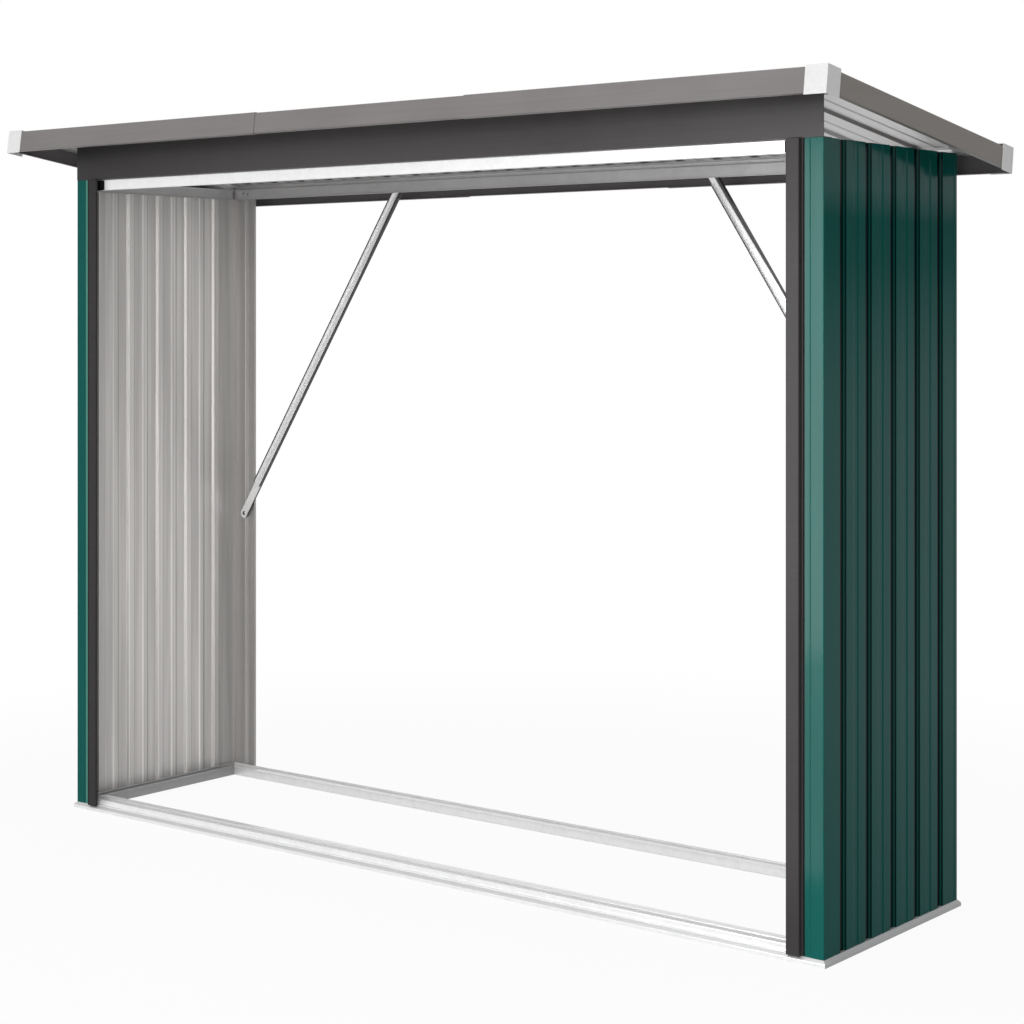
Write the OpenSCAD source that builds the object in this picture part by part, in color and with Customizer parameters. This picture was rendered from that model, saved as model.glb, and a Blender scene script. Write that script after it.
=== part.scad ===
// Sheet-steel log store: two ribbed side walls on a base frame of folded rails,
// open at the front and the back, under a tray roof that slopes to the rear.
// Every piece is one strip of sheet folded along a path and cut to length.
// Origin on the ground under the middle of the roof, X to the right, Y to the rear.

/* [Walls] */
// Width over the corner trims
store_w = 2160; // [1600:2:2800]
// Depth over the walls, front to rear
store_d = 550; // [400:10:900]
// Height of the wall tops above the ground
wall_top = 1580; // [1200:10:2000]
// Thickness of the wall and roof sheets
sheet_t = 0.8; // [0.5:0.1:1.5]
// Inside radius of the folds
fold_r = 1.2; // [0.6:0.1:1.6]

/* [Wall ribs] */
// Distance between two ribs
rib_pitch = 100; // [80:5:150]
// Depth of a rib
rib_depth = 6; // [4:0.5:12]
// Width of a rib at its mouth
rib_mouth = 25; // [20:1:32]
// Width of a rib at its floor
rib_floor = 17; // [10:0.5:19]
// Width of the shallow bead between two ribs
bead_w = 20; // [14:1:30]
// Depth of the bead
bead_depth = 1.6; // [1:0.1:3]
// Width of the sloping edge of a bead
bead_edge = 4; // [3:0.5:5]
// Least flat between the last rib and the edge of a wall
wall_edge_flat = 40; // [25:1:60]

/* [Corners] */
// Front leg of the corner trim
trim_front = 30; // [20:1:45]
// Side leg of the corner trim
trim_side = 26; // [15:1:50]
// Strip of the front return that shows beside the trim
trim_strip = 12.5; // [8:0.5:18]
// Width of a rear return
rear_return_w = 83; // [75:1:140]
// Middle of the rib in a rear return, from the corner
rear_rib_at = 40; // [30:1:50]
// Leg of a rear return on the wall
rear_leg = 12; // [8:1:20]

/* [Front posts and header] */
// Thickness of the posts and the header
post_t = 1; // [0.8:0.1:2]
// Lap of a post that shows beside the front return
post_strip = 7; // [4:0.5:20]
// Width of a post's face
post_face = 30; // [20:1:36]
// How far a post's face stands out from the corner trim
post_step = 9; // [4:0.5:14]
// Depth of a post's inner side
post_return = 9; // [6:0.5:20]
// Lap of a post behind the front return
post_lap = 14; // [8:1:20]
// Lip behind a post
post_lip = 12; // [6:1:20]
// Foot of the header on the posts
header_foot = 32; // [20:1:60]
// Flange of the header under the roof
header_flange = 26; // [15:1:50]

/* [Top rails] */
// Thickness of the top rails
rail_t = 1; // [0.8:0.1:1.5]
// Height of a top rail
rail_h = 27; // [20:1:45]
// Top flange of a top rail
rail_flange = 18; // [12:1:30]
// Bottom lip of a top rail
rail_lip = 8; // [5:1:12]
// Space between the front rail and a post
rail_gap = 5; // [2:0.5:15]
// Flat of the step in the rear rail
rail_step_flat = 1.6; // [0.6:0.2:4]

/* [Base frame] */
// Thickness of the base rails
base_t = 1; // [0.8:0.1:2]
// Height of the outer face
base_face = 7.5; // [5:0.5:20]
// Bevel from the outer face up to the ledge under the walls
base_bevel = 6; // [4:0.5:12]
// Height of the upstand above the ledge
upstand_h = 14; // [10:1:30]
// Flat on top of the upstand
upstand_flat = 0.6; // [0.4:0.2:4]
// Clear width of the channel behind the upstand
channel_w = 22; // [16:1:40]
// Inner flange of the channel
channel_flange = 18; // [8:1:26]

/* [Roof] */
// Slope of the roof to the rear, in degrees
pitch = 8; // [4:0.5:14]
// Height of the roof sheet above the wall tops at the rear
roof_lift = 10; // [6:0.5:20]
// Overhang at the front
over_front = 143; // [80:1:220]
// Overhang at the rear
over_rear = 72; // [50:1:160]
// Overhang at the sides
over_side = 90; // [60:1:160]
// Distance between two roof ribs
roof_pitch = 100; // [80:5:150]
// Height of a roof rib
roof_rib_h = 7; // [5:0.5:14]
// Width of a roof rib at its foot
roof_rib_foot = 28; // [22:1:34]
// Width of a roof rib at its crest
roof_rib_crest = 18; // [12:1:20]
// Least flat between the last roof rib and the edge
roof_edge_flat = 45; // [35:1:48]
// Lap of the middle roof sheet on its neighbours
roof_lap = 8; // [5:0.5:10]

/* [Fascia] */
// Height of the front fascia
fascia_h = 50; // [40:1:90]
// Height of the rear fascia
rear_fascia_h = 53; // [40:1:90]
// Height of the side fascia
side_fascia_h = 45; // [36:1:80]
// How far the side fascia lies under the top of the others
side_fascia_drop = 2.5; // [0:0.5:4]
// Thickness of the fascia
fascia_t = 1; // [0.8:0.1:1.5]
// Top lip of the fascia
fascia_lip = 22; // [14:1:30]
// Bottom hem of the fascia
fascia_hem = 10; // [6:1:14]
// Length of the middle front and rear fascia that shows
fascia_mid = 610; // [300:10:900]
// Lap of the middle fascia behind its neighbours
fascia_lap = 30; // [15:1:60]
// Leg of a corner cap
cap_leg = 48; // [36:1:70]
// Thickness of a corner cap
cap_t = 1.2; // [0.8:0.1:2]
// How far a corner cap stands over the front fascia
cap_rise = 2.4; // [2.2:0.1:6]
// How far a corner cap hangs under the front fascia
cap_drop = 3.5; // [0:0.5:10]

/* [Braces] */
// Width of a brace
brace_w = 26; // [18:1:32]
// Depth of a brace
brace_d = 10; // [6:0.5:14]
// Thickness of a brace
brace_t = 1.5; // [1:0.1:2]
// Upper end of a brace, from the corner
brace_head_at = 610; // [400:1:700]
// Lower end of a brace, from the corner
brace_foot_at = 46; // [40:1:60]
// Height of the lower end of a brace
brace_foot_z = 705; // [500:5:900]

/* [Hidden] */

// Gap between two pieces that seat on each other
seat = 0.2;
// Straight pieces of one fold
fold_steps = 3;
// Sides of a round end
round_sides = 48;
// Step from one sheet to the next that lies on it
sheet_step = sheet_t + seat;

green_paint = "#1f5a4c";
anthracite_paint = "#4b494a";
grey_trim = "#858280";
galvanised = "#b6b9bb";
cap_white = "#ecebe9";

// Places of the walls
tray_run = over_front + store_d + over_rear;
front_y = over_front - tray_run / 2;
rear_y = front_y + store_d;
wall_z = base_face + base_bevel;
wall_h = wall_top - wall_z;
front_return_w = trim_front + trim_strip;
post_in = front_return_w + post_strip + post_face;
// The upstand and the rails stand clear of the ribs, the upstand by its own fold too
rib_in = 2 * sheet_t + rib_depth + seat;
base_fold = fold_r + base_t;
upstand_in = rib_in + base_fold + seat;

// Roof: w is the height over the underside of its sheets, v runs along the slope
tray_w = store_w + 2 * over_side;
tray_l = tray_run / cos(pitch);
roof_z = wall_top + roof_lift + rear_y * tan(pitch);
fascia_step = fascia_t + seat;
tray_top = roof_rib_h + sheet_t + sheet_step + 2 * fascia_step;
tray_bottom = tray_top - fascia_h;
cap_low = tray_bottom - cap_drop;
cap_high = tray_top + cap_rise;
tray_mid_v = -(cap_low + cap_high) / 2 * tan(pitch);
roof_sheet_w = tray_w - 2 * fascia_step;
roof_sheet_l = tray_l - 4 * fascia_step;
cap_out = cap_t + seat;

// Folded strips: a path is the outer face, and the strip lies t to its right
function unit(v) = v / norm(v);
function right_of(d) = [d[1], -d[0]];
function sides(path) = [for (i = [1:len(path) - 1]) unit(path[i] - path[i - 1])];
function mitre(a, b) = (right_of(a) + right_of(b)) / (1 + a * b);
function turned(v, a) = [v[0] * cos(a) - v[1] * sin(a), v[0] * sin(a) + v[1] * cos(a)];

function shifted(path, t) =
    let (d = sides(path), last = len(d))
    [for (i = [0:last])
        path[i] + t * (i == 0 ? right_of(d[0])
            : i == last ? right_of(d[last - 1])
            : mitre(d[i - 1], d[i]))];

// One corner of a path as a round of radius r, between directions a and b
function fold(corner, a, b, r) =
    let (
        hand = sign(a[0] * b[1] - a[1] * b[0]),
        angle = acos(max(-1, min(1, a * b))),
        start = corner - a * r * tan(angle / 2),
        spoke = hand * r * right_of(a)
    )
    [for (k = [0:fold_steps]) start - spoke + turned(spoke, hand * angle * k / fold_steps)];

function folded(path, r) =
    let (d = sides(path), last = len(path) - 1)
    concat(
        [path[0]],
        [for (i = [1:last - 1]) each fold(path[i], d[i - 1], d[i], r)],
        [path[last]]
    );

function backwards(list) = [for (i = [len(list) - 1:-1:0]) list[i]];

module strip(path, t) {
    round_path = folded(path, fold_r + abs(t));
    polygon(concat(round_path, backwards(shifted(round_path, t))));
}

// Ribbed sheets: points of one rib or bead across a path along u
function hump(at, foot, crest, h) = [
    [at - foot / 2, 0],
    [at - crest / 2, h],
    [at + crest / 2, h],
    [at + foot / 2, 0],
];
function bead(at) = hump(at, bead_w, bead_w - 2 * bead_edge, bead_depth);
function wall_rib(at) = hump(at, rib_mouth, rib_floor, rib_depth);
function roof_rib(at) = hump(at, roof_rib_foot, roof_rib_crest, roof_rib_h);
function rib_count(width, flat, gap) = floor((width - 2 * flat) / gap) + 1;
function swapped(path) = [for (p = path) [p[1], p[0]]];

// A folded strip along X, Y or Z, drawn in the plane across it
module along_x(length) {
    translate([-length / 2, 0, 0])
        rotate([90, 0, 90])
            linear_extrude(length) children();
}

module along_y(length) {
    translate([0, length / 2, 0])
        rotate([90, 0, 0])
            linear_extrude(length) children();
}

module right_side() {
    mirror([1, 0, 0]) children();
}

module rear_side() {
    mirror([0, 1, 0]) children();
}

// A strip along X with its ends cut at 45 degrees, or left square
module mitred_x(length, depth, low, high, cut_left = true, cut_right = true) {
    intersection() {
        along_x(length) children();
        translate([0, 0, low])
            linear_extrude(high - low)
                polygon([
                    [-length / 2, 0],
                    [length / 2, 0],
                    [length / 2 - (cut_right ? depth : 0), depth],
                    [-length / 2 + (cut_left ? depth : 0), depth],
                ]);
    }
}

// Base frame: outer face, bevel, ledge, folded upstand and channel in one strip
base_upstand_at = base_bevel + upstand_in;
base_fold_at = base_upstand_at + 2 * base_fold + upstand_flat;
base_flange_at = base_fold_at + channel_w;
base_depth = base_flange_at + channel_flange;
upstand_top = wall_z + upstand_h;

module base_rail(length) {
    color(galvanised)
        mitred_x(length, base_depth, 0, upstand_top)
            strip([
                [0, 0],
                [0, base_face],
                [base_bevel, wall_z],
                [base_upstand_at, wall_z],
                [base_upstand_at, upstand_top],
                [base_fold_at, upstand_top],
                [base_fold_at, base_t],
                [base_flange_at, base_t],
                [base_flange_at, upstand_top],
                [base_depth, upstand_top],
            ], base_t);
}

module front_base_rail() {
    translate([0, front_y - base_bevel, 0])
        base_rail(store_w + 2 * base_bevel);
}

module rear_base_rail() {
    translate([0, rear_y + base_bevel, 0])
        rotate(180) base_rail(store_w + 2 * base_bevel);
}

module left_base_rail() {
    translate([-store_w / 2 - base_bevel, (front_y + rear_y) / 2, 0])
        rotate(-90) base_rail(store_d + 2 * base_bevel);
}

module right_base_rail() {
    right_side() left_base_rail();
}

// Side walls: ribs inwards, one bead between each two ribs, clear of the corner folds
wall_end = sheet_step + fold_r;
wall_sheet_l = store_d - 2 * wall_end;
wall_ribs = rib_count(wall_sheet_l, wall_edge_flat, rib_pitch);
function wall_rib_at(i) = wall_sheet_l / 2 + (i - (wall_ribs - 1) / 2) * rib_pitch;

module left_wall_sheet() {
    path = concat(
        [[0, 0]],
        [for (i = [0:wall_ribs - 1]) each concat(
            wall_rib(wall_rib_at(i)),
            i < wall_ribs - 1 ? bead(wall_rib_at(i) + rib_pitch / 2) : []
        )],
        [[wall_sheet_l, 0]]
    );
    color(green_paint)
        translate([-store_w / 2 + sheet_step, front_y + wall_end, wall_z])
            linear_extrude(wall_h)
                strip(swapped(path), sheet_t);
}

module right_wall_sheet() {
    right_side() left_wall_sheet();
}

// Corner trim with the narrow strip of the return beside it
module left_front_corner() {
    color(green_paint)
        translate([-store_w / 2, front_y, wall_z])
            linear_extrude(wall_h)
                strip([
                    [0, trim_side],
                    [0, 0],
                    [trim_front - sheet_step, 0],
                    [trim_front + sheet_step, sheet_step],
                    [front_return_w, sheet_step],
                ], -sheet_t);
}

module right_front_corner() {
    right_side() left_front_corner();
}

// Rear return: a leg round the corner, one rib and a hem at the open edge
module left_rear_return() {
    color(green_paint)
        translate([-store_w / 2, rear_y, wall_z])
            rear_side()
                linear_extrude(wall_h)
                    strip(concat(
                        [[0, rear_leg], [0, 0]],
                        wall_rib(rear_rib_at),
                        [[rear_return_w, 0], [rear_return_w, rib_depth + sheet_t]]
                    ), -sheet_t);
}

module right_rear_return() {
    right_side() left_rear_return();
}

// Front post: a lap behind the return, a step forward, the face and a lip behind it
post_lap_b = 2 * sheet_step;
post_back = post_return - post_step;

module left_front_post() {
    color(anthracite_paint)
        translate([-store_w / 2, front_y, wall_z])
            linear_extrude(wall_h)
                strip([
                    [front_return_w - post_lap, post_lap_b],
                    [post_in - post_face, post_lap_b],
                    [post_in - post_face, -post_step],
                    [post_in, -post_step],
                    [post_in, post_back],
                    [post_in - post_lip, post_back],
                ], -post_t);
}

module right_front_post() {
    right_side() left_front_post();
}

// Header over the posts, its flange at the slope of the roof
function roof_under(b) = wall_top + roof_lift + (store_d - b) * tan(pitch) - seat;

module front_header() {
    color(anthracite_paint)
        translate([0, front_y, 0])
            along_x(store_w)
                strip([
                    [header_foot, wall_top],
                    [0, wall_top],
                    [0, roof_under(0)],
                    [header_flange, roof_under(header_flange)],
                ], post_t);
}

// Top rails: a lip, a web and a top flange, inside the ribs of the walls
rail_z = wall_top - rail_h;
brace_b = rib_depth + sheet_t + seat;
rear_rail_b = brace_b + brace_t + seat;
side_rail_from = post_lap_b + post_t + seat;
side_rail_l = store_d - side_rail_from - rear_rail_b - rail_lip - seat;

module top_rail_strip(at) {
    strip([
        [at + rail_lip, rail_z],
        [at, rail_z],
        [at, wall_top],
        [at + rail_flange, wall_top],
    ], rail_t);
}

module front_top_rail() {
    color(galvanised)
        translate([0, front_y, 0])
            along_x(store_w - 2 * (post_in + rail_gap))
                top_rail_strip(upstand_in);
}

module left_top_rail() {
    color(galvanised)
        translate([-store_w / 2, front_y + side_rail_from + side_rail_l / 2, 0])
            along_y(side_rail_l)
                top_rail_strip(rib_in + seat);
}

module right_top_rail() {
    right_side() left_top_rail();
}

// The rear rail steps back over the wall tops and carries the roof on its flange
rear_step_b = rear_rail_b - 2 * (fold_r + rail_t) - rail_step_flat;
rear_step_z = wall_top + seat + rail_t;

module rear_top_rail() {
    color(galvanised)
        translate([0, rear_y, 0])
            rear_side()
                along_x(store_w - 2 * (rib_in + seat))
                    strip([
                        [rear_rail_b + rail_lip, rail_z],
                        [rear_rail_b, rail_z],
                        [rear_rail_b, rear_step_z],
                        [rear_step_b, rear_step_z],
                        [rear_step_b, roof_under(store_d - rear_step_b)],
                        [rear_step_b + rail_flange, roof_under(store_d - rear_step_b - rail_flange)],
                    ], rail_t);
}

// Braces: a shallow channel open to the front, with flat ends at the rear rail and the returns
brace_head_z = rail_z + rail_h / 2;
brace_x = brace_head_at - brace_foot_at;
brace_h = brace_head_z - brace_foot_z;
brace_l = norm([brace_x, brace_h]);
brace_lean = atan2(brace_x, brace_h);
brace_half = brace_w / 2 / cos(brace_lean);
brace_foot_flat = (rear_return_w + brace_half + brace_t - brace_foot_at) / sin(brace_lean);
brace_head_flat = (rail_h / 2 + seat + brace_w / 2 * sin(brace_lean)) / cos(brace_lean);

module left_rear_brace() {
    color(galvanised)
        translate([-store_w / 2 + brace_foot_at, rear_y - brace_b - brace_t, brace_foot_z])
            rotate([0, brace_lean, 0]) {
                translate([0, brace_t, 0])
                    rotate([90, 0, 0])
                        linear_extrude(brace_t) {
                            translate([-brace_w / 2, 0]) square([brace_w, brace_l]);
                            circle(d = brace_w, $fn = round_sides);
                            translate([0, brace_l]) circle(d = brace_w, $fn = round_sides);
                        }
                translate([0, 0, brace_foot_flat])
                    linear_extrude(brace_l - brace_foot_flat - brace_head_flat)
                        strip([
                            [-brace_w / 2, brace_t - brace_d],
                            [-brace_w / 2, brace_t],
                            [brace_w / 2, brace_t],
                            [brace_w / 2, brace_t - brace_d],
                        ], brace_t);
            }
}

module right_rear_brace() {
    right_side() left_rear_brace();
}

// Roof, drawn flat and then tilted
module on_roof() {
    translate([0, 0, roof_z])
        rotate([-pitch, 0, 0]) children();
}

roof_ribs = rib_count(roof_sheet_w, roof_edge_flat, roof_pitch);
// Ribs of one outer sheet
outer_ribs = round(roof_ribs / 3);
function roof_rib_at(i) = (i - (roof_ribs - 1) / 2) * roof_pitch;
roof_seam = roof_rib_at(outer_ribs - 1) + roof_rib_foot / 2 + roof_lap / 2;

function roof_humps(first, last) = [for (i = [first:last]) each concat(
    roof_rib(roof_rib_at(i)),
    i < last ? bead(roof_rib_at(i) + roof_pitch / 2) : []
)];

module roof_sheet(path) {
    color(galvanised)
        on_roof()
            translate([0, tray_mid_v, 0])
                along_y(roof_sheet_l)
                    strip(path, -sheet_t);
}

module left_roof_sheet() {
    roof_sheet(concat(
        [[-roof_sheet_w / 2, 0]],
        roof_humps(0, outer_ribs - 1),
        [[roof_seam + roof_lap, 0]]
    ));
}

module right_roof_sheet() {
    right_side() left_roof_sheet();
}

// The middle sheet lies over its neighbours
module middle_roof_sheet() {
    first_bead = roof_rib_at(outer_ribs) - roof_pitch / 2;
    path = concat(
        [[roof_seam, 0]],
        bead(first_bead),
        roof_humps(outer_ribs, roof_ribs - outer_ribs - 1),
        bead(-first_bead),
        [[-roof_seam, 0]]
    );
    roof_sheet([for (p = path) [p[0], p[1] + sheet_step]]);
}

// Fascia: hem, face and top lip in one strip round the edge of the roof
module fascia_strip(in, low, high) {
    strip([
        [in + fascia_hem, low + in],
        [in, low + in],
        [in, high - in],
        [in + fascia_lip, high - in],
    ], fascia_t);
}

module outer_fascia(length, low, high, cut_left, cut_right) {
    mitred_x(length, fascia_lip, low, high, cut_left, cut_right)
        fascia_strip(0, low, high);
}

module at_front() {
    on_roof() translate([0, tray_mid_v - tray_l / 2, 0]) children();
}

module at_rear() {
    on_roof()
        translate([0, tray_mid_v + tray_l / 2, 0])
            rear_side() children();
}

outer_fascia_l = (tray_w - fascia_mid) / 2;

module edge_fascia_left(low) {
    color(grey_trim)
        translate([-(tray_w - outer_fascia_l) / 2, 0, 0])
            outer_fascia(outer_fascia_l, low, tray_top, true, false);
}

module edge_fascia_middle(low) {
    color(grey_trim)
        along_x(fascia_mid + 2 * fascia_lap)
            fascia_strip(fascia_step, low, tray_top);
}

module front_fascia_left() {
    at_front() edge_fascia_left(tray_bottom);
}

module front_fascia_middle() {
    at_front() edge_fascia_middle(tray_bottom);
}

module front_fascia_right() {
    right_side() front_fascia_left();
}

rear_bottom = tray_top - rear_fascia_h;

module rear_fascia_left() {
    at_rear() edge_fascia_left(rear_bottom);
}

module rear_fascia_middle() {
    at_rear() edge_fascia_middle(rear_bottom);
}

module rear_fascia_right() {
    right_side() rear_fascia_left();
}

side_top = tray_top - side_fascia_drop;

module left_fascia() {
    color(grey_trim)
        on_roof()
            translate([-tray_w / 2, tray_mid_v, 0])
                rotate(-90) outer_fascia(tray_l, side_top - side_fascia_h, side_top, true, true);
}

module right_fascia() {
    right_side() left_fascia();
}

// Corner caps: two faces and a lip over the fascia
module corner_cap() {
    cap_h = cap_high - cap_low;
    cap_lip = cap_out + fascia_lip;
    color(cap_white)
        translate([-tray_w / 2 - cap_out, -cap_out, cap_low])
            difference() {
                cube([cap_leg, cap_leg, cap_h]);
                translate([cap_t, cap_t, -cap_t])
                    cube([cap_leg, cap_leg, cap_h]);
                translate([cap_lip, cap_lip, 0])
                    cube([cap_leg, cap_leg, cap_h + cap_t]);
            }
}

module front_left_cap() {
    at_front() corner_cap();
}

module front_right_cap() {
    right_side() front_left_cap();
}

module rear_left_cap() {
    at_rear() corner_cap();
}

module rear_right_cap() {
    right_side() rear_left_cap();
}

front_base_rail();
rear_base_rail();
left_base_rail();
right_base_rail();
left_wall_sheet();
right_wall_sheet();
left_front_corner();
right_front_corner();
left_rear_return();
right_rear_return();
left_front_post();
right_front_post();
front_header();
front_top_rail();
rear_top_rail();
left_top_rail();
right_top_rail();
left_rear_brace();
right_rear_brace();
left_roof_sheet();
middle_roof_sheet();
right_roof_sheet();
left_fascia();
right_fascia();
front_fascia_left();
front_fascia_middle();
front_fascia_right();
rear_fascia_left();
rear_fascia_middle();
rear_fascia_right();
front_left_cap();
front_right_cap();
rear_left_cap();
rear_right_cap();
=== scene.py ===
import math
import bmesh
import bpy
from mathutils import Matrix, Vector


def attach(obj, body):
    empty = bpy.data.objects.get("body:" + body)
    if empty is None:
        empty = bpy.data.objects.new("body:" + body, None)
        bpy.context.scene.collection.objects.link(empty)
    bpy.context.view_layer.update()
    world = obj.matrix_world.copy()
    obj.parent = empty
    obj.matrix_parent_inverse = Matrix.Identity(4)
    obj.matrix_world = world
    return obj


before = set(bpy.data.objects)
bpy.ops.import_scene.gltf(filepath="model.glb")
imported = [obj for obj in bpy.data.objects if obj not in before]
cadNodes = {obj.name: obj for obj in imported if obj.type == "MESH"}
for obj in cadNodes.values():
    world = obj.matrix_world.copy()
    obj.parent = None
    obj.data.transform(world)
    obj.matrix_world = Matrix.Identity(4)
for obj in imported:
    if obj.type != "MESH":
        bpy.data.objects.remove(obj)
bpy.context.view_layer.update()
scene = bpy.context.scene
scene.view_settings.view_transform = "Standard"
print("frame loaded:", len(cadNodes), "pieces")


# shader shorthand: a value that is itself a socket is linked, anything else is set
def addNode(tree, kind, sockets=None, **settings):
    node = tree.nodes.new(kind)
    for key, value in settings.items():
        setattr(node, key, value)
    for socket, value in (sockets or {}).items():
        if isinstance(value, bpy.types.NodeSocket):
            tree.links.new(value, node.inputs[socket])
        else:
            node.inputs[socket].default_value = value
    return node


def workOut(tree, operation, *values):
    return addNode(tree, "ShaderNodeMath", dict(enumerate(values)), operation=operation).outputs[0]


def dotOf(tree, first, second):
    return addNode(tree, "ShaderNodeVectorMath", {0: first, 1: second},
                   operation="DOT_PRODUCT").outputs["Value"]


def axesOf(tree, vector):
    return addNode(tree, "ShaderNodeSeparateXYZ", {0: vector}).outputs


def placeOf(tree):
    return addNode(tree, "ShaderNodeTexCoord").outputs["Object"]


def facingOf(tree):
    return addNode(tree, "ShaderNodeNewGeometry").outputs["True Normal"]


def startFinish(name, roughness, metallic, specular):
    finish = bpy.data.materials.new(name)
    finish.use_nodes = True
    shader = finish.node_tree.nodes["Principled BSDF"]
    shader.inputs["Roughness"].default_value = roughness
    shader.inputs["Metallic"].default_value = metallic
    shader.inputs["Specular IOR Level"].default_value = specular
    return finish, finish.node_tree, shader


def noiseAt(tree, stretch, scale, detail, rough=0.5):
    stretched = addNode(tree, "ShaderNodeMapping", {"Vector": placeOf(tree), "Scale": stretch})
    return addNode(tree, "ShaderNodeTexNoise", {
        "Vector": stretched.outputs["Vector"], "Scale": scale,
        "Detail": detail, "Roughness": rough}).outputs["Fac"]


def spread(tree, value, low, high, fromLow=0.2, fromHigh=0.8, easing="SMOOTHSTEP"):
    return addNode(tree, "ShaderNodeMapRange", {
        "Value": value, "From Min": fromLow, "From Max": fromHigh, "To Min": low, "To Max": high},
        interpolation_type=easing).outputs["Result"]


def roughFrom(tree, noise, rough, shares, noiseSpan=(0.2, 0.8)):
    return spread(tree, noise, rough * shares[0], rough * shares[1], *noiseSpan)


def mixValues(tree, share, first, second):
    return addNode(tree, "ShaderNodeMix", {0: share, 2: first, 3: second}).outputs[0]


def blendColours(tree, share, first, second, mode="MIX"):
    return addNode(tree, "ShaderNodeMix", {0: share, 6: first, 7: second},
                   data_type="RGBA", blend_type=mode).outputs[2]


def tinted(colour, amount=1.0):
    return tuple(min(1.0, channel * amount) for channel in colour) + (1.0,)


def greyTone(tone):
    return (tone, tone, tone, 1.0)


def mottled(tree, share, colour, tones):
    return blendColours(tree, share, tinted(colour, tones[0]), tinted(colour, tones[1]))


def toneRamp(tree, value, stops):
    ramp = addNode(tree, "ShaderNodeValToRGB", {0: value})
    marks = ramp.color_ramp.elements
    for at, tone in stops[1:-1]:
        marks.new(at)
    for mark, (at, tone) in zip(marks, stops):
        mark.position = at
        mark.color = greyTone(tone)
    return ramp.outputs["Color"]


def bumpFrom(tree, height, distance, strength=1.0, under=None):
    bump = addNode(tree, "ShaderNodeBump", {"Height": height, "Distance": distance, "Strength": strength})
    if under is not None:
        tree.links.new(under, bump.inputs["Normal"])
    return bump.outputs["Normal"]


def addRelief(tree, shader, look):
    waves = bumpFrom(tree, noiseAt(tree, *look["waves"]), look["waveDepth"])
    skin = bumpFrom(tree, noiseAt(tree, *look["skin"]), look["skinDepth"], look["skinStrength"], waves)
    tree.links.new(skin, shader.inputs["Normal"])


# coil coated sheet: colour on the weather side, grey backing coat on the other
greenSheet = {
    "outside": (0.003, 0.086, 0.074),
    "outsideRough": 0.14,
    "outsideRoughShares": (0.9, 1.15),
    "outsideTones": (0.93, 1.07),
    "inside": (0.86, 0.835, 0.815),
    "insideRough": 0.42,
    "insideRoughShares": (0.9, 1.1),
    "insideTones": (0.87, 1.12),
    "insideMetal": 0.40,
    "specular": 0.076,
    "outsideTurn": (0.02, 0.05),   # how far a face turns outward before it has the colour
    "edgeFrom": 1.0793,            # cut edges further out than this have it too
    "legTurn": (0.75, 0.95),       # how far a face of a trim turns to the side to count as its leg
    "wallTop": 1.58,
    # painted reflection: strength of the sheen from the foot of the wall to its top, dimmed just under the
    # roof
    "paintedSheen": ((0.0, 0.38), (0.13, 0.60), (0.30, 0.92), (0.62, 1.0), (0.70, 0.86), (0.78, 0.52),
              (0.85, 0.20), (0.905, 0.14), (0.925, 0.50), (0.945, 0.95), (1.0, 1.0)),
    "wallFace": 1.0790,
    "grooveFloor": 1.0730,
    "grooveFrom": (0.42, 0.52),    # share of the depth where the painted shade of a groove takes over
    # painted shade on the weather coat, by slope and by depth in a groove
    "paintedLipShade": ((0.0, 0.10), (0.80, 0.10), (0.88, 0.85), (0.975, 1.0), (1.0, 1.0)),
    "paintedGrooveDepthShade": ((0.0, 0.85), (0.82, 0.85), (0.92, 0.17), (1.0, 0.17)),
    # painted light and shade on the backing coat by slope, from front facing to rear facing
    "paintedBeadLight": ((0.0, 0.58), (0.14, 0.58), (0.22, 0.97), (0.42, 0.97), (0.46, 0.72), (0.54, 0.72),
                  (0.60, 0.50), (1.0, 0.50)),
    # noises: stretch, scale, detail, roughness
    "streaks": ((1.0, 1.0, 0.02), 120.0, 4.0, 0.6),
    "clouds": ((1.0, 1.0, 0.5), 5.0, 2.0),
    "cloudSpan": (0.6, 1.4),       # what streaks and clouds add up to
    "bands": ((1.0, 1.0, 0.03), 38.0, 3.0, 0.55),
    "bandSpan": (0.3, 0.7),
    "waves": ((1.0, 1.0, 0.22), 4.5, 1.0),
    "waveDepth": 0.0006,
    "skin": ((1.0, 1.0, 1.0), 700.0, 2.0),
    "skinDepth": 0.00003,
    "skinStrength": 0.5,
}
# painted light: the trims' front faces are lightened over the wall colour, the right one more than the
# left, with a stronger painted highlight on the right
leftTrim = {"tone": 1.14, "specular": 0.06,
            "strip": (0.085, 0.27, 0.22), "stripFade": (1.0470, 1.0482)}   # painted highlight along the inner edge
rightTrim = {"tone": 1.38, "specular": 0.11}
# painted shade: the backing coat of the rear returns is darkened for the shade in the rear corners
rearReturn = {"paintedInsideShade": 0.50}


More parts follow.
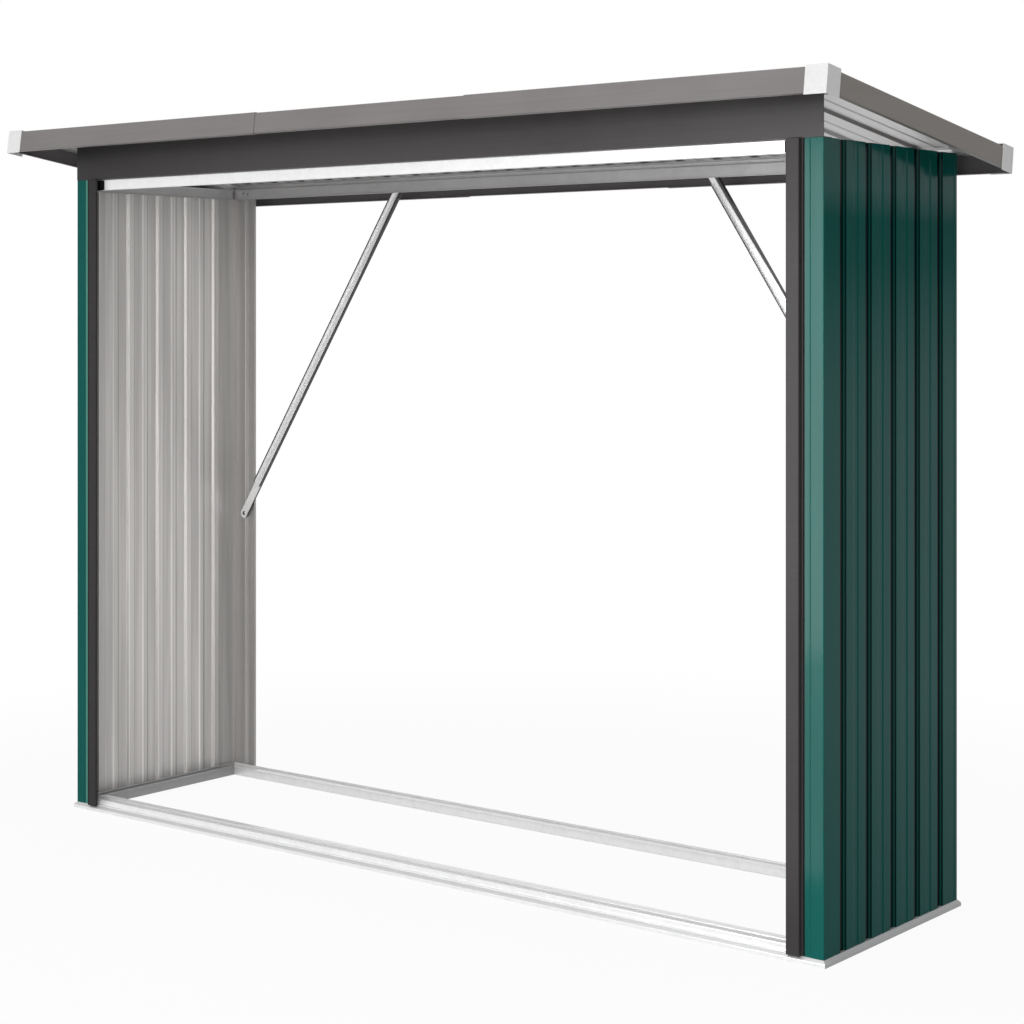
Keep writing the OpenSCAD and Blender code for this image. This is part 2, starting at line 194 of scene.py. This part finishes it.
def coatedSheet(name, outward, look, ribbed=False, trim=None, paintedInsideShade=1.0):
    finish, tree, shader = startFinish(name, look["outsideRough"], 0.0, look["specular"])
    facing = facingOf(tree)
    lean = axesOf(tree, facing)
    side = dotOf(tree, facing, outward)
    where = axesOf(tree, placeOf(tree))
    reach = workOut(tree, "ABSOLUTE", where["X"])
    streaks = noiseAt(tree, *look["streaks"])
    clouds = noiseAt(tree, *look["clouds"])
    cloudShare = spread(tree, workOut(tree, "ADD", streaks, clouds), 0.0, 1.0, *look["cloudSpan"])
    outside = mottled(tree, cloudShare, look["outside"], look["outsideTones"])
    bandShare = spread(tree, noiseAt(tree, *look["bands"]), 0.0, 1.0, *look["bandSpan"])
    inside = mottled(tree, bandShare, look["inside"], [tone * paintedInsideShade for tone in look["insideTones"]])
    upWall = spread(tree, where["Z"], 0.0, 1.0, 0.0, look["wallTop"], "LINEAR")
    # painted reflection strength along the wall's height
    paintedSheen = workOut(tree, "MULTIPLY", toneRamp(tree, upWall, look["paintedSheen"]), look["specular"])
    if trim:
        # the leg along the wall keeps the wall's own tone
        leg = spread(tree, workOut(tree, "ABSOLUTE", lean["X"]), 0.0, 1.0, *look["legTurn"])
        # painted light on the trim's front face, and its own painted highlight strength
        paintedLight = blendColours(tree, leg, greyTone(trim["tone"]), greyTone(1.0))
        outside = blendColours(tree, 1.0, outside, paintedLight, "MULTIPLY")
        paintedSheen = mixValues(tree, leg, trim["specular"], paintedSheen)
        # painted highlight along the left trim's inner edge
        if "strip" in trim:
            inner = spread(tree, reach, 1.0, 0.0, *trim["stripFade"])
            outside = blendColours(tree, inner, outside, tinted(trim["strip"]))
    if ribbed:
        # painted shade along the groove edges and in the grooves
        depth = spread(tree, reach, 1.0, 0.0, look["grooveFloor"], look["wallFace"], "LINEAR")
        paintedGrooves = blendColours(tree, spread(tree, depth, 0.0, 1.0, *look["grooveFrom"]),
                               toneRamp(tree, side, look["paintedLipShade"]),
                               toneRamp(tree, depth, look["paintedGrooveDepthShade"]))
        outside = blendColours(tree, 1.0, outside, paintedGrooves, "MULTIPLY")
        # painted light and shade on the backing coat, by which way each slope faces
        slope = spread(tree, lean["Y"], 0.0, 1.0, -1.0, 1.0, "LINEAR")
        inside = blendColours(tree, 1.0, inside, toneRamp(tree, slope, look["paintedBeadLight"]), "MULTIPLY")
    weather = workOut(tree, "MAXIMUM", spread(tree, side, 0.0, 1.0, *look["outsideTurn"]),
                    workOut(tree, "GREATER_THAN", reach, look["edgeFrom"]))
    roughOut = roughFrom(tree, clouds, look["outsideRough"], look["outsideRoughShares"])
    roughIn = roughFrom(tree, streaks, look["insideRough"], look["insideRoughShares"])
    metal = spread(tree, weather, look["insideMetal"], 0.0, 0.0, 1.0, "LINEAR")
    tree.links.new(blendColours(tree, weather, inside, outside), shader.inputs["Base Color"])
    tree.links.new(mixValues(tree, weather, roughIn, roughOut), shader.inputs["Roughness"])
    tree.links.new(metal, shader.inputs["Metallic"])
    tree.links.new(paintedSheen, shader.inputs["Specular IOR Level"])
    addRelief(tree, shader, look)
    return finish


diagonal = math.sqrt(0.5)
greenLeft = coatedSheet("greenLeft", (-1, 0, 0), greenSheet, ribbed=True)
greenRight = coatedSheet("greenRight", (1, 0, 0), greenSheet, ribbed=True)
greenFrontLeft = coatedSheet("greenFrontLeft", (-diagonal, -diagonal, 0), greenSheet, trim=leftTrim)
greenFrontRight = coatedSheet("greenFrontRight", (diagonal, -diagonal, 0), greenSheet, trim=rightTrim)
greenRearLeft = coatedSheet("greenRearLeft", (-diagonal, diagonal, 0), greenSheet, **rearReturn)
greenRearRight = coatedSheet("greenRearRight", (diagonal, diagonal, 0), greenSheet, **rearReturn)
print("green sheet finishes made")

# one colour coats on posts, header, fascia and caps
thinPaint = {
    "tones": (0.94, 1.06),
    "roughShares": (0.9, 1.12),
    "grain": (0.02, 1.0, 1.0),             # stretch along the piece
    "grainNoise": (160.0, 4.0, 0.6),       # scale, detail, roughness
    "clouds": ((1.0, 1.0, 1.0), 6.0, 2.0),
    "cloudSpan": (0.6, 1.4),               # what grain and clouds add up to
    "waves": ((0.6, 0.6, 1.0), 5.0, 1.0),
    "waveDepth": 0.0006,
    "skin": ((1.0, 1.0, 1.0), 800.0, 2.0),
    "skinDepth": 0.00004,
    "skinStrength": 0.5,
}
leftFade = (-1.08, -0.35)                  # stretch of the front over which its left end gets painted shade
postCoat = dict(
    thinPaint, colour=(0.054, 0.050, 0.052), rough=0.30, specular=0.09, paintedLeftShade=0.74,
    seamFade=(1.0333, 1.0343), paintedSeamShade=0.06,   # painted shade in the joint beside the corner trim
    leftSeam=0.0082)                            # it reaches further in on the left by this
headerCoat = dict(
    thinPaint, colour=(0.077, 0.072, 0.073), rough=0.34, specular=0.14, paintedLeftShade=0.60,
    paintedTopShadow=0.70, topFade=(1.62, 1.66))
fasciaCoat = dict(
    thinPaint, colour=(0.178, 0.168, 0.165), rough=0.42, specular=0.3, grain=(0.02, 0.02, 1.0),
    inner=(0.118, 0.109, 0.113), innerTurn=(-0.05, 0.05))   # painted shade on the faces towards the middle of the roof
# painted light: the side fascias are lighter than the front and rear ones
sideFasciaPaintedLightCoat = dict(fasciaCoat, colour=(0.212, 0.193, 0.176))
smooth = (1.0, 1.0, 1.0)
capCoat = dict(
    thinPaint, colour=(0.73, 0.73, 0.728), rough=0.34, specular=0.4, grain=smooth,
    waveDepth=0.00002, skinDepth=0.00001)


def plainCoat(name, look):
    finish, tree, shader = startFinish(name, look["rough"], 0.0, look["specular"])
    grain = noiseAt(tree, look["grain"], *look["grainNoise"])
    clouds = noiseAt(tree, *look["clouds"])
    cloudShare = spread(tree, workOut(tree, "ADD", grain, clouds), 0.0, 1.0, *look["cloudSpan"])
    colour = mottled(tree, cloudShare, look["colour"], look["tones"])
    place = placeOf(tree)
    where = axesOf(tree, place)
    # painted shade towards the left end of the front
    if "paintedLeftShade" in look:
        along = spread(tree, where["X"], look["paintedLeftShade"], 1.0, *leftFade)
        colour = blendColours(tree, 1.0, colour, along, "MULTIPLY")
    # painted shadow of the fascia along the top
    if "paintedTopShadow" in look:
        rise = spread(tree, where["Z"], 1.0, look["paintedTopShadow"], *look["topFade"])
        colour = blendColours(tree, 1.0, colour, rise, "MULTIPLY")
    # painted shade in the joint beside the corner trim
    if "paintedSeamShade" in look:
        leftReach = workOut(tree, "SUBTRACT", look["leftSeam"], where["X"])
        reach = workOut(tree, "MAXIMUM", where["X"], leftReach)
        seam = spread(tree, reach, 0.0, 1.0, *look["seamFade"])
        colour = blendColours(tree, seam, colour, tinted(look["colour"], look["paintedSeamShade"]))
    # painted shade on the faces towards the middle of the roof
    if "inner" in look:
        level = addNode(tree, "ShaderNodeVectorMath", {0: place, 1: (1.0, 1.0, 0.0)}, operation="MULTIPLY")
        outward = dotOf(tree, level.outputs[0], facingOf(tree))
        inward = spread(tree, outward, 1.0, 0.0, *look["innerTurn"])
        colour = blendColours(tree, inward, colour, tinted(look["inner"]))
    rough = roughFrom(tree, clouds, look["rough"], look["roughShares"])
    tree.links.new(colour, shader.inputs["Base Color"])
    tree.links.new(rough, shader.inputs["Roughness"])
    addRelief(tree, shader, look)
    return finish


anthracite = plainCoat("anthracite", postCoat)
headerGrey = plainCoat("headerGrey", headerCoat)
fasciaGrey = plainCoat("fasciaGrey", fasciaCoat)
sideFasciaPaintedLight = plainCoat("sideFasciaPaintedLight", sideFasciaPaintedLightCoat)
capWhite = plainCoat("capWhite", capCoat)
print("plain coats made")

# hot dip zinc, with a faint spangle
hotDip = {
    "tones": (0.97, 1.03),
    "roughShares": (0.92, 1.1),
    "specular": 0.5,
    "spangle": 70.0,
    "spangleShare": 0.5,
    "stains": ((1.0, 1.0, 1.0), 14.0, 4.0, 0.6),
    "stainSpan": (0.3, 1.2),               # what spangle and stains add up to
    "waves": ((1.0, 1.0, 1.0), 6.0, 1.0),
    "waveDepth": 0.00005,
    "skin": ((1.0, 1.0, 1.0), 500.0, 2.0),
    "skinDepth": 0.00002,
    "skinStrength": 0.4,
}
brightZinc = dict(hotDip, colour=(0.95, 0.95, 0.952), rough=0.32, metal=0.3)
baseZinc = dict(
    hotDip, colour=(0.88, 0.88, 0.885), rough=0.34, metal=0.25,
    paintedBevelShade=0.66, bevelFrom=(0.3, 0.45), bevelTo=(0.88, 0.97))   # painted shade on the sloping top of the rail
# painted shade: the side base rails are a darker copy of the front one
baseSidePaintedShade = dict(hotDip, colour=(0.405, 0.405, 0.412), rough=0.34, metal=0.25)
dullZinc = dict(hotDip, colour=(0.52, 0.515, 0.515), rough=0.36, metal=0.5, waveDepth=0.0001)
roofZinc = dict(
    hotDip, colour=(0.60, 0.595, 0.595), rough=0.36, metal=0.5, waveDepth=0.0001,
    paintedRibShade=0.52, ribTurn=(0.2, 0.45))     # painted shade on the sides of the ribs
braceFoot = (1.0340, 0.7050)               # ends of the brace's middle line, across and up
braceHead = (0.4700, 1.5665)
braceZinc = dict(
    hotDip, colour=(0.95, 0.95, 0.955), rough=0.34, metal=0.35, spangle=90.0, waveDepth=0.000008,
    # painted shade on the rear lip, painted reflection on the upward-facing outer flange, and a painted
    # shade streak in the web
    paintedBraceLipShade=0.03, lipFade=(0.2960, 0.2968),
    paintedFlangeReflection=0.07, flangeTurn=(0.25, 0.45),
    # painted shade streak: tone, where it starts across the web low and high up, and those heights
    paintedStreakShade=0.06, streakFrom=(0.008, -0.001), streakHeights=(1.15, 1.55), fade=(0.0, 0.004))


def paintedBraceShade(tree, look, colour, where, upward):
    runAcross = braceFoot[0] - braceHead[0]
    runUp = braceHead[1] - braceFoot[1]
    length = math.hypot(runAcross, runUp)
    squareTo = (runUp / length, runAcross / length)
    middle = braceFoot[0] * squareTo[0] + braceFoot[1] * squareTo[1]
    rise = workOut(tree, "MULTIPLY", where["Z"], squareTo[1])
    outer = workOut(tree, "MULTIPLY_ADD", workOut(tree, "ABSOLUTE", where["X"]), squareTo[0], rise)
    offset = workOut(tree, "SUBTRACT", outer, middle)
    # painted reflection of the roof's underside on the upward-facing outer flange
    flange = workOut(tree, "MULTIPLY", spread(tree, upward, 0.0, 1.0, *look["flangeTurn"]),
                   spread(tree, offset, 0.0, 1.0, *look["fade"]))
    colour = blendColours(tree, flange, colour, greyTone(look["paintedFlangeReflection"]))
    # painted shade: dark streak mirrored in the web, on the right half of both braces
    rightward = workOut(tree, "MULTIPLY", offset, workOut(tree, "SIGN", where["X"]))
    start = spread(tree, where["Z"], *look["streakFrom"], *look["streakHeights"])
    streak = spread(tree, workOut(tree, "SUBTRACT", rightward, start), 0.0, 1.0, *look["fade"])
    colour = blendColours(tree, streak, colour, greyTone(look["paintedStreakShade"]))
    # painted shade on the rear lip
    lip = spread(tree, where["Y"], 1.0, 0.0, *look["lipFade"])
    return blendColours(tree, lip, colour, greyTone(look["paintedBraceLipShade"]))


def zincCoat(name, look):
    finish, tree, shader = startFinish(name, look["rough"], look["metal"], look["specular"])
    place = placeOf(tree)
    cells = addNode(tree, "ShaderNodeTexVoronoi", {
        "Vector": place, "Scale": look["spangle"], "Randomness": 1.0})
    spangle = addNode(tree, "ShaderNodeSeparateColor", {"Color": cells.outputs["Color"]}).outputs["Red"]
    tone = workOut(tree, "MULTIPLY_ADD", spangle, look["spangleShare"], noiseAt(tree, *look["stains"]))
    colour = mottled(tree, spread(tree, tone, 0.0, 1.0, *look["stainSpan"]), look["colour"], look["tones"])
    facing = axesOf(tree, facingOf(tree))
    # painted shade on the sides of the roof's ribs
    if "paintedRibShade" in look:
        steep = spread(tree, workOut(tree, "ABSOLUTE", facing["X"]), 0.0, 1.0, *look["ribTurn"])
        colour = blendColours(tree, steep, colour, tinted(look["colour"], look["paintedRibShade"]))
    # painted shade on the sloping top of the base rail
    if "paintedBevelShade" in look:
        sloping = workOut(tree, "MULTIPLY", spread(tree, facing["Z"], 0.0, 1.0, *look["bevelFrom"]),
                        spread(tree, facing["Z"], 1.0, 0.0, *look["bevelTo"]))
        colour = blendColours(tree, sloping, colour, tinted(look["colour"], look["paintedBevelShade"]))
    if "paintedBraceLipShade" in look:
        colour = paintedBraceShade(tree, look, colour, axesOf(tree, place), facing["Z"])
    rough = roughFrom(tree, tone, look["rough"], look["roughShares"], look["stainSpan"])
    tree.links.new(colour, shader.inputs["Base Color"])
    tree.links.new(rough, shader.inputs["Roughness"])
    addRelief(tree, shader, look)
    return finish


zincBright = zincCoat("zincBright", brightZinc)
zincBase = zincCoat("zincBase", baseZinc)
zincBasePaintedShade = zincCoat("zincBasePaintedShade", baseSidePaintedShade)
zincDull = zincCoat("zincDull", dullZinc)
zincRoof = zincCoat("zincRoof", roofZinc)
zincBrace = zincCoat("zincBrace", braceZinc)
print("zinc coats made")

pieceFinish = {
    "left_wall_sheet": greenLeft, "right_wall_sheet": greenRight,
    "left_front_corner": greenFrontLeft, "right_front_corner": greenFrontRight,
    "left_rear_return": greenRearLeft, "right_rear_return": greenRearRight,
    "left_front_post": anthracite, "right_front_post": anthracite, "front_header": headerGrey,
    "front_top_rail": zincBright, "rear_top_rail": zincDull,
    "left_top_rail": zincDull, "right_top_rail": zincDull,
    "left_rear_brace": zincBrace, "right_rear_brace": zincBrace,
    "left_roof_sheet": zincRoof, "middle_roof_sheet": zincRoof, "right_roof_sheet": zincRoof,
    "front_base_rail": zincBase, "rear_base_rail": zincBase,
    "left_base_rail": zincBasePaintedShade, "right_base_rail": zincBasePaintedShade,
    "left_fascia": sideFasciaPaintedLight, "right_fascia": sideFasciaPaintedLight,
}
for name, piece in cadNodes.items():
    if name in pieceFinish:
        finish = pieceFinish[name]
    elif name.endswith("cap"):
        finish = capWhite
    else:
        finish = fasciaGrey    # front and rear fascia, in three lengths each
    for materialSlot in piece.material_slots:
        materialSlot.material = finish
print("finishes on the pieces")

# pan head screws: rear rail to the returns, braces at both ends
screw = {"head": 0.0046, "rise": 0.0026, "brim": 0.0009, "domeAngle": 78, "rings": 7, "sides": 32,
         "slotLong": 0.0027, "slotWide": 0.0007, "slotDeep": 0.0010, "slotProud": 0.00004}
screwZinc = dict(
    hotDip, colour=(0.46, 0.46, 0.465), rough=0.26, metal=1.0, spangle=400.0, waveDepth=0.00001)
slotPaintedShade = dict(
    thinPaint, colour=(0.020, 0.020, 0.022), rough=0.5, specular=0.2, grain=smooth,
    waveDepth=0.00001, skinDepth=0.00001)
zincScrew = zincCoat("zincScrew", screwZinc)
screwSlotPaintedShade = plainCoat("screwSlotPaintedShade", slotPaintedShade)


def bridge(shell, lower, upper):
    return [shell.faces.new((lower[k - 1], lower[k], upper[k], upper[k - 1])) for k in range(len(lower))]


def screwMesh():
    # dome with a brim
    shell = bmesh.new()
    rings = [(screw["head"], 0.0)]
    for level in range(screw["rings"]):
        turn = math.radians(screw["domeAngle"]) * level / (screw["rings"] - 1)
        dome = (screw["rise"] - screw["brim"]) * math.sin(turn)
        rings.append((screw["head"] * math.cos(turn), screw["brim"] + dome))
    steps = [2 * math.pi * k / screw["sides"] for k in range(screw["sides"])]
    loops = []
    for radius, height in rings:
        loops.append([shell.verts.new((radius * math.cos(step), radius * math.sin(step), height))
                      for step in steps])
    for lower, upper in zip(loops, loops[1:]):
        bridge(shell, lower, upper)
    shell.faces.new(loops[-1])
    shell.faces.new(list(reversed(loops[0])))
    # cross slot in its top, a dark solid standing a little proud: painted shade for the recess
    arm, half = screw["slotLong"], screw["slotWide"]
    outline = [(arm, -half), (arm, half), (half, half), (half, arm), (-half, arm), (-half, half),
               (-arm, half), (-arm, -half), (-half, -half), (-half, -arm), (half, -arm), (half, -half)]
    top = screw["rise"] + screw["slotProud"]
    bottom = screw["rise"] - screw["slotDeep"]
    upper = [shell.verts.new((x, y, top)) for x, y in outline]
    lower = [shell.verts.new((x, y, bottom)) for x, y in outline]
    slotFaces = [shell.faces.new(upper), shell.faces.new(list(reversed(lower)))]
    for face in slotFaces + bridge(shell, lower, upper):
        face.material_index = 1
    mesh = bpy.data.meshes.new("screwHead")
    shell.to_mesh(mesh)
    shell.free()
    mesh.materials.append(zincScrew)
    mesh.materials.append(screwSlotPaintedShade)
    return mesh


screwHead = screwMesh()


def addScrew(name, place, facing, turn, size):
    piece = bpy.data.objects.new(name, screwHead)
    aim = Vector(facing).to_track_quat("Z", "Y").to_matrix().to_4x4()
    spin = Matrix.Rotation(math.radians(turn), 4, "Z")
    piece.matrix_world = Matrix.Translation(place) @ aim @ spin @ Matrix.Scale(size, 4)
    scene.collection.objects.link(piece)
    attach(piece, "root")


# place on the right side, facing, turn of the slot, size
screwPlaces = {
    "rail_screw_1": ((1.0356, 0.3008, 1.5690), (0, -1, 0), 20, 1.0),
    "rail_screw_2": ((1.0172, 0.3008, 1.5670), (0, -1, 0), 55, 1.0),
    "brace_foot_screw": ((braceFoot[0], 0.3020, braceFoot[1]), (0, -1, 0), 35, 1.3),
    "brace_head_screw": ((braceHead[0], 0.3035, braceHead[1]), (0, 1, 0), 10, 1.3),
}
for screwName, (place, facing, turn, size) in screwPlaces.items():
    for side, sign in (("left", -1), ("right", 1)):
        addScrew(f"{side}_{screwName}", (sign * place[0], place[1], place[2]), facing, sign * turn, size)
print("screws in place")

# folded clips that close the front rail to the posts, near black: painted shade for the gap beside the
# rail's end
railClip = {"from": 0.9880, "to": 1.0160, "front": -0.2304, "thick": 0.0009, "tail": 0.0085,
            "bend": 0.0016, "bendSteps": 6, "low": 1.5525, "high": 1.5795, "chamfer": 0.002}
clipCoat = dict(
    thinPaint, colour=(0.008, 0.008, 0.009), rough=0.5, specular=0.1, grain=(1.0, 1.0, 0.02),
    waveDepth=0.0001)
clipPaintedShade = plainCoat("clipPaintedShade", clipCoat)


def addClip(name, sign):
    # front and back line of the fold, seen from above
    inner = railClip["bend"]
    outer = inner + railClip["thick"]
    tailEnd = railClip["front"] + railClip["tail"]
    centre = (railClip["to"] - outer, railClip["front"] + outer)
    profile = [(railClip["from"], railClip["front"])]
    back = [(railClip["from"], railClip["front"] + railClip["thick"])]
    for step in range(railClip["bendSteps"] + 1):
        turn = math.radians(90 * step / railClip["bendSteps"] - 90)
        profile.append((centre[0] + outer * math.cos(turn), centre[1] + outer * math.sin(turn)))
        back.append((centre[0] + inner * math.cos(turn), centre[1] + inner * math.sin(turn)))
    profile.append((railClip["to"], tailEnd))
    back.append((railClip["to"] - railClip["thick"], tailEnd))
    shell = bmesh.new()
    last = len(profile) - 1
    grid = []
    for k in range(last + 1):
        trim = railClip["chamfer"] if k in (0, last) else 0.0
        low = railClip["low"] + trim
        high = railClip["high"] - trim
        corners = ((profile[k], low), (profile[k], high), (back[k], high), (back[k], low))
        grid.append([shell.verts.new((sign * x, y, z)) for (x, y), z in corners])
    for near, far in zip(grid, grid[1:]):
        bridge(shell, near, far)
    shell.faces.new(grid[0])
    shell.faces.new(list(reversed(grid[-1])))
    bmesh.ops.recalc_face_normals(shell, faces=shell.faces)
    mesh = bpy.data.meshes.new(name)
    shell.to_mesh(mesh)
    shell.free()
    mesh.materials.append(clipPaintedShade)
    piece = bpy.data.objects.new(name, mesh)
    scene.collection.objects.link(piece)
    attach(piece, "root")


addClip("left_rail_clip", -1)
addClip("right_rail_clip", 1)
print("rail clips in place")


# studio: white surroundings, floor, lamps and camera
def seenOrMirrored(tree):
    rays = addNode(tree, "ShaderNodeLightPath").outputs
    clear = workOut(tree, "MAXIMUM", rays["Is Camera Ray"], rays["Is Transmission Ray"])
    return workOut(tree, "MAXIMUM", clear, rays["Is Glossy Ray"])


white = greyTone(1.0)
surround = {"ambient": 0.40, "seen": 1.0}
world = bpy.data.worlds.new("studioWorld")
scene.world = world
world.use_nodes = True
worldTree = world.node_tree
backdrop = worldTree.nodes["Background"]
backdrop.inputs["Color"].default_value = white
worldLight = mixValues(worldTree, seenOrMirrored(worldTree), surround["ambient"], surround["seen"])
worldTree.links.new(worldLight, backdrop.inputs["Strength"])

# the floor glows white to the camera, less near the store so that its shadow stays
floorLook = {"size": 40.0, "height": -0.0005, "tone": 0.65, "glowNear": 0.94, "glowFar": 1.0,
             "fade": (1.3, 3.0)}
bpy.ops.mesh.primitive_plane_add(size=floorLook["size"], location=(0, 0, floorLook["height"]))
floor = bpy.context.object
floor.name = "studioFloor"
floorFinish = bpy.data.materials.new("studioFloor")
floorFinish.use_nodes = True
floorTree = floorFinish.node_tree
floorTree.nodes.remove(floorTree.nodes["Principled BSDF"])
matt = addNode(floorTree, "ShaderNodeBsdfDiffuse", {"Color": greyTone(floorLook["tone"])})
glow = addNode(floorTree, "ShaderNodeEmission", {"Color": white, "Strength": 1.0})
away = addNode(floorTree, "ShaderNodeVectorMath", {0: placeOf(floorTree)}, operation="LENGTH")
fade = spread(floorTree, away.outputs["Value"], floorLook["glowNear"], floorLook["glowFar"],
              *floorLook["fade"])
share = workOut(floorTree, "MULTIPLY", fade, seenOrMirrored(floorTree))
both = addNode(floorTree, "ShaderNodeMixShader", {0: share, 1: matt.outputs[0], 2: glow.outputs[0]})
floorTree.links.new(both.outputs[0], floorTree.nodes["Material Output"].inputs["Surface"])
floor.data.materials.append(floorFinish)
print("floor and surroundings ready")

# the two strips are only mirrored, for the line of light on the trims
lamps = {
    "keyLamp": {"place": (0.9, -4.7, 1.9), "aim": (0, 0, 0.8),
                "width": 4.4, "height": 3.6, "power": 128.0, "lights": True},
    "stripLamp": {"place": (0.04, -2.0, 0.995), "aim": (1.07, -0.24, 0.995),
                  "width": 0.5, "height": 1.49, "power": 22.5, "lights": False},
    "lowStripLamp": {"place": (0.767, -0.758, 0.235), "aim": (1.07, -0.24, 0.235),
                     "width": 0.20, "height": 0.44, "power": 0.95, "lights": False},
    "overheadLamp": {"place": (0.0, -0.6, 5.0), "aim": (0, 0, 0),
                     "width": 5.0, "height": 4.0, "power": 130.0, "lights": True},
}


def addLamp(name, box):
    lamp = bpy.data.lights.new(name, "AREA")
    lamp.shape = "RECTANGLE"
    lamp.size = box["width"]
    lamp.size_y = box["height"]
    lamp.energy = box["power"]
    holder = bpy.data.objects.new(name, lamp)
    holder.location = box["place"]
    holder.rotation_euler = (Vector(box["aim"]) - Vector(box["place"])).to_track_quat("-Z", "Y").to_euler()
    holder.visible_camera = False
    holder.visible_diffuse = box["lights"]
    scene.collection.objects.link(holder)


for lampName, box in lamps.items():
    addLamp(lampName, box)
print("lamps ready")

# level camera: the horizon is put in place by the lens shift
photoView = {"place": (3.166, -3.814, 1.240), "turn": 38.5, "sensor": 36.0,
             "focalPixels": 2155.0, "horizonPixel": 315.5, "imagePixels": 1024.0}
viewCamera = bpy.data.cameras.new("photoCamera")
viewCamera.sensor_width = photoView["sensor"]
viewCamera.lens = photoView["focalPixels"] / photoView["imagePixels"] * photoView["sensor"]
viewCamera.shift_y = photoView["horizonPixel"] / photoView["imagePixels"] - 0.5
cameraHolder = bpy.data.objects.new("photoCamera", viewCamera)
cameraHolder.location = photoView["place"]
cameraHolder.rotation_euler = (math.radians(90), 0, math.radians(photoView["turn"]))
scene.collection.objects.link(cameraHolder)
scene.camera = cameraHolder
print("camera ready")
